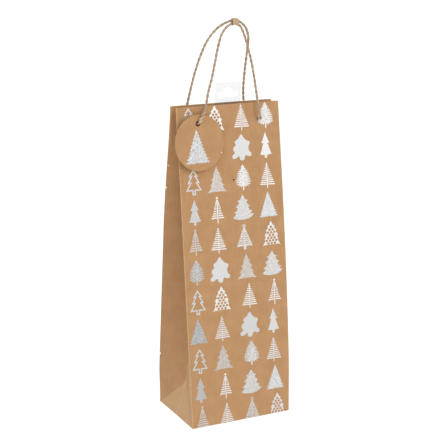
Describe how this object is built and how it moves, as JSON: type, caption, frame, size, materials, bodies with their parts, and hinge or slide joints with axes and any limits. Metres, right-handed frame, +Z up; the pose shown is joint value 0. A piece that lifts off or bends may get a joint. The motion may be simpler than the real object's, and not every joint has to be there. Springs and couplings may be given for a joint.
{
  "type": "paper bottle gift bag",
  "caption": "Tall kraft paper bottle gift bag with folded gussets, twisted rope handles joined by a band, a round gift tag and a clear hang tab.",
  "frame": {"origin": "centre of the base, on the surface that the bag stands on", "axes": "+Z up along the bag, front panel towards -Y, width along X"},
  "size_m": [0.1264, 0.088, 0.4384],
  "materials": {
    "kraft_paper": "matt brown kraft with fine ribs and fibres",
    "stiff_card": "matt grey board",
    "rope": "twisted light tan strands",
    "clear_film": "clear, slightly frosted",
    "tag_card": "matt kraft card",
    "band_paper": "matt light tan paper",
    "silver_foil": "hot-stamped silver foil, partly glittery"
  },
  "bodies": {
    "base": {"bottom_flap_front": "kraft_paper", "bottom_flap_back": "kraft_paper", "bottom_flap_left": "kraft_paper", "bottom_flap_right": "kraft_paper", "base_card": "stiff_card", "left_gusset_triangle": "kraft_paper", "right_gusset_triangle": "kraft_paper"},
    "front_wall": {"front_panel": "kraft_paper", "front_rim_card": "stiff_card", "front_rim_fold": "kraft_paper", "front_knot_left": "rope", "front_knot_right": "rope", "left_gusset_front": "kraft_paper", "right_gusset_front": "kraft_paper"},
    "back_wall": {"back_panel": "kraft_paper", "back_rim_card": "stiff_card", "back_rim_fold": "kraft_paper", "back_knot_left": "rope", "back_knot_right": "rope", "left_gusset_back": "kraft_paper", "right_gusset_back": "kraft_paper", "side_seam_flap": "kraft_paper", "hang_tab": "clear_film"},
    "front_handle": {"front_handle_rope": "rope", "handle_band": "band_paper"},
    "back_handle": {"back_handle_rope": "rope"},
    "tag": {"gift_tag": "tag_card"}
  },
  "joints": [
    {"name": "front_wall_fold", "type": "hinge", "parent": "base", "child": "front_wall", "pos_m": [0, -0.044, 0], "axis": [1, 0, 0], "range_deg": [0, 5.9]},
    {"name": "back_wall_fold", "type": "hinge", "parent": "base", "child": "back_wall", "pos_m": [0, 0.044, 0], "axis": [-1, 0, 0], "range_deg": [0, 5.9]},
    {"name": "front_handle_swing", "type": "hinge", "parent": "front_wall", "child": "front_handle", "pos_m": [0, -0.01416, 0.33069], "axis": [1, 0, 0], "range_deg": [0, 90]},
    {"name": "back_handle_swing", "type": "hinge", "parent": "back_wall", "child": "back_handle", "pos_m": [0, 0.01416, 0.33069], "axis": [-1, 0, 0], "range_deg": [0, 90]},
    {"name": "gift_tag_swing", "type": "hinge", "parent": "front_wall", "child": "tag", "pos_m": [-0.0365, -0.01416, 0.33069], "axis": [0, -0.9947, 0.1029], "range_deg": [-40, 60]}
  ],
  "couplings": [
    {"joint": "back_wall_fold", "follows": "front_wall_fold", "ratio": 1}
  ]
}
